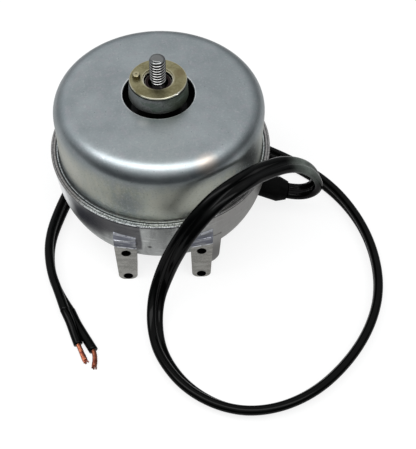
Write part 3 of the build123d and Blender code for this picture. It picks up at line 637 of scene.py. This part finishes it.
black_nylon = two_tone(
    "black_nylon", (0.0008, 0.0009, 0.0009), (0.002, 0.0022, 0.0022), 0.5, 1.0, 0.02, 0.0, 0.06
)
dressed(["stator_core", "rotor_core"], laminations)
dressed(["retaining_clip", "stator_screws"], steel)
dressed(["shading_rings"], copper_ring)
dressed(["coil_1", "coil_2", "coil_3", "coil_4", "coil_links"], winding)
dressed(["bobbin_1", "bobbin_2", "bobbin_3", "bobbin_4"], nylon)
dressed(["bearing_sleeve"], bronze)
dressed(["rotor_cage"], cage_metal)
dressed(["oil_felt"], felt)
dressed(["thrust_washer", "lower_washer"], phenolic)
dressed(["bearing_plug"], plug_metal)
dressed(["oil_slinger"], black_nylon)


# Strain relief and flat twin cord
# Black nylon bushing in the wall, and the cord it holds: two stranded cores side by side in one
# glossy PVC jacket with a groove between them. The cord curls back over the motor's front,
# makes one large loop on the ground, standing mostly on its edge, and passes behind the motor.

def cord_finish():
    skin = Finish("black_pvc")
    place = skin.place()
    scuff = skin.noise(place, 5.0, detail=4.0)
    fine = skin.noise(place, 0.7, detail=3.0)
    dusty = skin.step(scuff, 0.45, 0.75)
    # Painted sheen on the top of the curl, where it faces up.
    curl_top_sheen = skin.spot(place, (60.5, -14.5, 39.0), 14.0)
    colour = skin.mixed((0.0005, 0.0006, 0.0006), (0.0018, 0.0022, 0.0020), dusty)
    colour = skin.mixed(colour, (0.135, 0.155, 0.140), curl_top_sheen * (0.2 + scuff * 1.1))
    rough = 0.08 + scuff * 0.06 + fine * 0.03 + curl_top_sheen * 0.15
    return skin.surface(
        Base_Color=colour, Roughness=rough, Specular_IOR_Level=0.085,
        Normal=skin.bumped(scuff * 0.8 + fine * 0.2, 0.03),
    )


pvc = cord_finish()
dressed(["strain_relief"], black_nylon)
dressed(["inner_lead_1", "inner_lead_2"], pvc)

gland_turn = radians(-9.5)
gland_tilt = radians(8.0)
gland_reach = 42.0
gland_height = 17.2
gland_length = 12.5
straight_run = 7.2
gland_axis = Vector((
    cos(gland_turn) * cos(gland_tilt), sin(gland_turn) * cos(gland_tilt), -sin(gland_tilt)
))
gland_seat = Vector((gland_reach * cos(gland_turn), gland_reach * sin(gland_turn), gland_height))
gland_exit = gland_seat + gland_axis * gland_length
first_point = gland_exit + gland_axis * straight_run

# Each point of the cord's middle line, and how far the cord's wide side is turned up there:
# 0 lies flat, 90 stands on its edge
cord_route = [
    (gland_exit, 0), (first_point, 0), ((66.7, -12.5, 23.2), 90), ((61.4, -14.0, 35.2), 1),
    ((51.5, -18.0, 43.4), 9), ((40.0, -27.0, 49.5), 26), ((31.0, -37.7, 56.0), 30),
    ((20.2, -45.1, 54.2), 32), ((11.1, -49.7, 44.6), 39), ((4.4, -51.8, 31.8), 46),
    ((-0.2, -53.2, 18.5), 48), ((-4.0, -59.2, 9.2), 50), ((-4.6, -70.0, 4.0), 51),
    ((-1.7, -82.7, 3.8), 54), ((7.6, -96.5, 3.8), 57), ((22.4, -105.6, 3.8), 64),
    ((38.4, -106.6, 3.8), 65), ((55.2, -100.4, 3.8), 68), ((70.0, -88.0, 3.9), 74),
    ((81.7, -72.3, 3.9), 84), ((88.6, -54.4, 3.9), 94), ((89.4, -34.2, 3.9), 103),
    ((85.0, -15.0, 3.9), 107), ((75.5, 2.5, 3.9), 98), ((61.0, 16.5, 3.9), 92),
    ((43.0, 28.0, 3.9), 90), ((27.0, 43.0, 3.9), 90), ((6.0, 52.0, 3.9), 88),
    ((-17.0, 49.0, 3.9), 84), ((-33.0, 34.0, 3.9), 80), ((-38.0, 13.0, 3.9), 76),
    ((-44.9, -6.0, 4.0), 76), ((-49.2, -24.0, 4.0), 87), ((-47.7, -40.0, 4.0), 92),
    ((-42.6, -52.6, 3.9), 80), ((-39.3, -59.6, 3.5), 52),
]
cord_width = 7.8
cord_thickness = 3.7
web_thickness = 2.2


def smooth_line(points):
    """Points in metres along the smooth curve that these control points pull."""
    curve = bpy.data.curves.new("line", "CURVE")
    curve.dimensions = "3D"
    curve.resolution_u = 12
    spline = curve.splines.new("NURBS")
    spline.points.add(len(points) - 1)
    for spot, point in zip(spline.points, points):
        spot.co = (*(Vector(point) * MM), 1)
    spline.order_u = 3
    spline.use_endpoint_u = True
    carrier = bpy.data.objects.new("line", curve)
    mesh = bpy.data.meshes.new_from_object(carrier)
    line = [spot.co.copy() for spot in mesh.vertices]
    bpy.data.objects.remove(carrier)
    bpy.data.curves.remove(curve)
    bpy.data.meshes.remove(mesh)
    return line


def wide_sides(route):
    """Which way the cord's wide side points at each point of the route."""
    sides = []
    for index, (point, turn) in enumerate(route):
        before = Vector(route[max(index - 1, 0)][0])
        after = Vector(route[min(index + 1, len(route) - 1)][0])
        along = (after - before).normalized()
        level = along.cross(Vector((0, 0, 1))).normalized()
        side = level * cos(radians(turn)) + level.cross(along) * sin(radians(turn))
        if sides and side.dot(sides[-1]) < 0:
            side.negate()
        sides.append(side)
    return sides


def frames_along(line, sides=None):
    """One placing matrix for each point: wide side first, flat side second, path third."""
    placed = []
    for index, point in enumerate(line):
        along = (line[min(index + 1, len(line) - 1)] - line[max(index - 1, 0)]).normalized()
        wide = sides[index] if sides else along.cross(Vector((0, 0, 1)))
        wide = (wide - along * wide.dot(along)).normalized()
        axes = Matrix((wide, along.cross(wide), along)).transposed()
        placed.append(Matrix.Translation(point) @ axes.to_4x4())
    return placed


def swept(section, placed):
    """Closed tube of this section, drawn with an extrusion from each frame to the next."""
    shape = bmesh.new()
    spots = [shape.verts.new((u * MM, v * MM, 0)) for u, v in section]
    first = shape.faces.new(spots)
    bmesh.ops.transform(shape, matrix=placed[0], verts=spots)
    rim = first.edges[:]
    for here, there in zip(placed, placed[1:]):
        grown = bmesh.ops.extrude_edge_only(shape, edges=rim)["geom"]
        spots = [item for item in grown if isinstance(item, bmesh.types.BMVert)]
        rim = [
            item for item in grown
            if isinstance(item, bmesh.types.BMEdge) and all(v in spots for v in item.verts)
        ]
        bmesh.ops.transform(shape, matrix=there @ here.inverted(), verts=spots)
    bmesh.ops.contextual_create(shape, geom=rim)
    return shape


def twin_section():
    """Two round cores side by side with a web between them, in millimetres."""
    core = cord_thickness / 2
    centre = cord_width / 2 - core
    count = 18
    web_angle = pi - atan2(web_thickness / 2, (core**2 - web_thickness**2 / 4) ** 0.5)
    angles = [web_angle * (2 * index / count - 1) for index in range(count + 1)]
    right = [(centre + core * cos(angle), core * sin(angle)) for angle in angles]
    left = [(-u, -v) for u, v in right]
    return right + left


cord_points = [Vector(point) for point, turn in cord_route]
cord_middle = smooth_line(cord_points)
cord_sides = smooth_line([side / MM for side in wide_sides(cord_route)])
cord = finished_piece(
    "flat_cord", swept(twin_section(), frames_along(cord_middle, cord_sides)),
    pvc, "housing", "power_cord",
)


# Split ends and bare strands
# The last part of the jacket is pulled apart into its two cores, which fan out as they leave
# it. Each is stripped to a few millimetres of twisted copper strands, dull red with age.

lead_spread = (cord_width - cord_thickness) / 2
lead_diameter = 3.7
strand_radius = 0.33
strand_ring = 0.62
strand_count = 9
strand_turns = 1.3
strand_fray = 0.35
strand_straight = 2.8

# Which side of the cord each lead leaves, its points, and the point where its strands end
split_ends = {
    "left": (
        -1, [(-38.2, -64.8, 4.0), (-36.5, -69.6, 2.5), (-34.9, -73.8, 1.75)], (-31.3, -82.3, 1.1),
    ),
    "right": (
        1, [(-36.0, -64.0, 1.8), (-33.0, -69.4, 1.8), (-28.8, -76.8, 1.8)], (-28.6, -85.0, 1.1),
    ),
}


def round_section(radius, count=20):
    return [
        (radius * cos(2 * pi * index / count), radius * sin(2 * pi * index / count))
        for index in range(count)
    ]


def strand_shape(line):
    """Bundle of strands laid in a slow twist along a line, loose at its end."""
    bundle = bmesh.new()
    placed = frames_along(line)
    for strand in range(strand_count):
        offset = 0.0 if strand == 0 else strand_ring
        path = []
        for index, spot in enumerate(placed):
            share = index / (len(placed) - 1)
            swing = 2 * pi * (strand_turns * share + strand / (strand_count - 1))
            loose = offset * (1 + strand_fray * share**3 * (1 + (strand % 3)) / 2)
            path.append(spot @ Vector((loose * cos(swing) * MM, loose * sin(swing) * MM, 0)))
        cut = len(path) - 1 - (strand * 2) % 4
        wire = swept(round_section(strand_radius, 8), frames_along(path[:cut]))
        part = bpy.data.meshes.new("strand")
        wire.to_mesh(part)
        wire.free()
        bundle.from_mesh(part)
        bpy.data.meshes.remove(part)
    return bundle


def strand_finish():
    strand = Finish("bare_copper")
    place = strand.place()
    cloud = strand.noise(place, 1.6, detail=3.0)
    fine = strand.noise(place, 0.35, detail=3.0)
    tarnish = strand.step(cloud, 0.40, 0.62)
    right_dull = strand.step(strand.parts(place)[0], -31.0, -29.0)
    colour = strand.mixed((0.56, 0.20, 0.11), (0.20, 0.045, 0.035), tarnish)
    colour = strand.layered(colour, [
        ((0.16, 0.05, 0.03), right_dull * 0.7),
        ((0.05, 0.02, 0.012), strand.step(fine, 0.50, 0.75) * 0.7),
    ])
    return strand.surface(
        Base_Color=colour, Metallic=1.0, Roughness=0.34 + fine * 0.14, Normal=strand.bumped(fine, 0.02)
    )


bare_copper = strand_finish()
end_point = cord_points[-1]
end_side = cord_sides[-1].normalized() * lead_spread
end_along = (end_point - cord_points[-2]).normalized()
for side, (sign, lead_points, strand_end) in split_ends.items():
    lead_end = Vector(lead_points[-1])
    strand_along = (lead_end - Vector(lead_points[-2])).normalized()
    lead_start = end_point + end_side * sign
    lead_line = smooth_line([lead_start - end_along, lead_start + end_along, *lead_points])
    strand_line = smooth_line([
        lead_end - strand_along, lead_end + strand_along * strand_straight, strand_end,
    ])
    lead = finished_piece(
        "lead_insulation_" + side, swept(round_section(lead_diameter / 2), frames_along(lead_line)),
        pvc, "housing", "lead_" + side,
    )
    strands = finished_piece(
        "copper_strands_" + side, strand_shape(strand_line),
        bare_copper, "housing", "strands_" + side,
    )


# Studio
# Pale floor, white surround and one wide soft light above. Metal and gloss also mirror a ring of
# grey card, darkest behind the camera, and a dark card on the ground in front of the motor, which
# give them their dark edges.

def board(name, shape, material):
    made = object_of(name, shape, material)
    return made


def only_in_reflections(made):
    made.visible_camera = False
    made.visible_diffuse = False
    made.visible_shadow = False
    made.visible_transmission = False


def seen_directly(tree, mirrored_share):
    """1 for rays from the camera or through glass, and this share for mirrored ones."""
    rays = tree.node("LightPath").socket.node.outputs
    camera_ray, through, mirrored = [
        Value(tree, rays[name]) for name in ("Is Camera Ray", "Is Transmission Ray", "Is Glossy Ray")
    ]
    return camera_ray.maths("MAXIMUM", through).maths("MAXIMUM", mirrored * mirrored_share)


def floor_finish():
    seen_white = 0.80
    lit_colour = 0.24
    far_colour = 0.60
    ground = Finish("floor")
    glow = ground.node("Emission", {}, {"Color": (1, 1, 1, 1), "Strength": seen_white})
    thin = ground.node("BsdfDiffuse", {}, {"Color": (lit_colour, lit_colour, lit_colour, 1)})
    bright = ground.node("AddShader", {}, {0: glow, 1: thin})
    plain = ground.node("BsdfDiffuse", {}, {"Color": (far_colour, far_colour, far_colour, 1)})
    share = seen_directly(ground, mirrored_share=0.4)
    return ground.ended(ground.node("MixShader", {}, {0: share, 1: plain, 2: bright}))


ring_radius = 0.8
ring_height = 0.62


def card_finish():
    front_ends = -420.0
    back_starts = 350.0
    side_reach = 500.0
    card = Finish("grey_card")
    across, deep, high = card.parts(card.place())[:3]
    climb = high * (MM / ring_height)
    behind = card.step(deep, front_ends, back_starts)
    front_glow = 0.07 + 0.75 * climb.power(2.4)
    to_right = card.step(across, -side_reach, side_reach)
    back_glow = (0.30 + 0.78 * climb.power(1.3)) * (1.2 - to_right * 0.45)
    glow = front_glow * (1 - behind) + back_glow * behind
    return card.ended(card.node("Emission", {}, {"Color": (0.95, 0.98, 1.0, 1), "Strength": glow}))


def ground_card_finish():
    card = Finish("ground_card")
    return card.ended(card.node("Emission", {}, {"Color": (0.065, 0.07, 0.08, 1)}))


floor_reach = 3.0
floor_shape = bmesh.new()
bmesh.ops.create_grid(floor_shape, x_segments=1, y_segments=1, size=floor_reach)
board("floor", floor_shape, floor_finish())

ring_shape = bmesh.new()
bmesh.ops.create_circle(ring_shape, segments=96, radius=ring_radius)
grown = bmesh.ops.extrude_edge_only(ring_shape, edges=ring_shape.edges[:])["geom"]
raised = [item for item in grown if isinstance(item, bmesh.types.BMVert)]
bmesh.ops.translate(ring_shape, vec=(0, 0, ring_height), verts=raised)
only_in_reflections(board("card_ring", ring_shape, card_finish()))

card_near = 0.13
card_width = 1.1
card_depth = 0.55
card_lift = 0.001
card_middle = (0, -card_depth / 2 - card_near, card_lift)
card_shape = bmesh.new()
bmesh.ops.create_grid(card_shape, x_segments=1, y_segments=1, size=0.5)
bmesh.ops.scale(card_shape, vec=(card_width, card_depth, 1), verts=card_shape.verts)
bmesh.ops.translate(card_shape, vec=card_middle, verts=card_shape.verts)
only_in_reflections(board("ground_card", card_shape, ground_card_finish()))

surround_light = 0.50
surround_seen = 1.0
world = bpy.data.worlds.new("surround")
bpy.context.scene.world = world
surround = Finish("surround", world)
lit = surround.node("Background", {}, {"Color": (0.97, 0.99, 1.0, 1), "Strength": surround_light})
seen = surround.node("Background", {}, {"Color": (1, 1, 1, 1), "Strength": surround_seen})
share = seen_directly(surround, mirrored_share=1.0)
surround.ended(surround.node("MixShader", {}, {0: share, 1: lit, 2: seen}))

lamp_place = Vector((-0.06, -0.215, 0.62))
lamp_size = (1.06, 0.28)
lamp_power = 3.7
lamp_data = bpy.data.lights.new("overhead", "AREA")
lamp_data.shape = "RECTANGLE"
lamp_data.size, lamp_data.size_y = lamp_size
lamp_data.energy = lamp_power
lamp = bpy.data.objects.new("overhead", lamp_data)
lamp.location = lamp_place
lamp.rotation_euler = (-lamp_place).to_track_quat("-Z", "Y").to_euler()
bpy.context.scene.collection.objects.link(lamp)


# Camera
# It stands in front of the motor and looks down on it, turned a little to the right.

camera_target_height = 65.8
camera_distance = 346.8
camera_height_angle = radians(43.56)
camera_place_turn = radians(1.0)
camera_yaw = radians(3.63)
camera_pitch = radians(52.08)
camera_roll = radians(1.1)
focal_pixels = 874.5
image_height = 449
sensor = 36.0

ground_reach = camera_distance * cos(camera_height_angle)
camera_place = Vector((
    ground_reach * sin(camera_place_turn), -ground_reach * cos(camera_place_turn),
    camera_distance * sin(camera_height_angle) + camera_target_height,
)) * MM
forward = Vector((
    sin(camera_yaw) * cos(camera_pitch), cos(camera_yaw) * cos(camera_pitch), -sin(camera_pitch)
))
level_right = forward.cross(Vector((0, 0, 1))).normalized()
level_up = level_right.cross(forward)
right = level_right * cos(camera_roll) + level_up * sin(camera_roll)
up = level_up * cos(camera_roll) - level_right * sin(camera_roll)
camera_data = bpy.data.cameras.new("camera")
camera_data.sensor_width = sensor
camera_data.lens = focal_pixels / image_height * sensor
camera_data.clip_start = 0.01
camera_data.clip_end = 20
camera = bpy.data.objects.new("camera", camera_data)
camera.matrix_world = (
    Matrix.Translation(camera_place) @ Matrix((right, up, -forward)).transposed().to_4x4()
)
bpy.context.scene.collection.objects.link(camera)
bpy.context.scene.camera = camera
bpy.context.scene.view_settings.view_transform = "Standard"

bpy.context.view_layer.update()
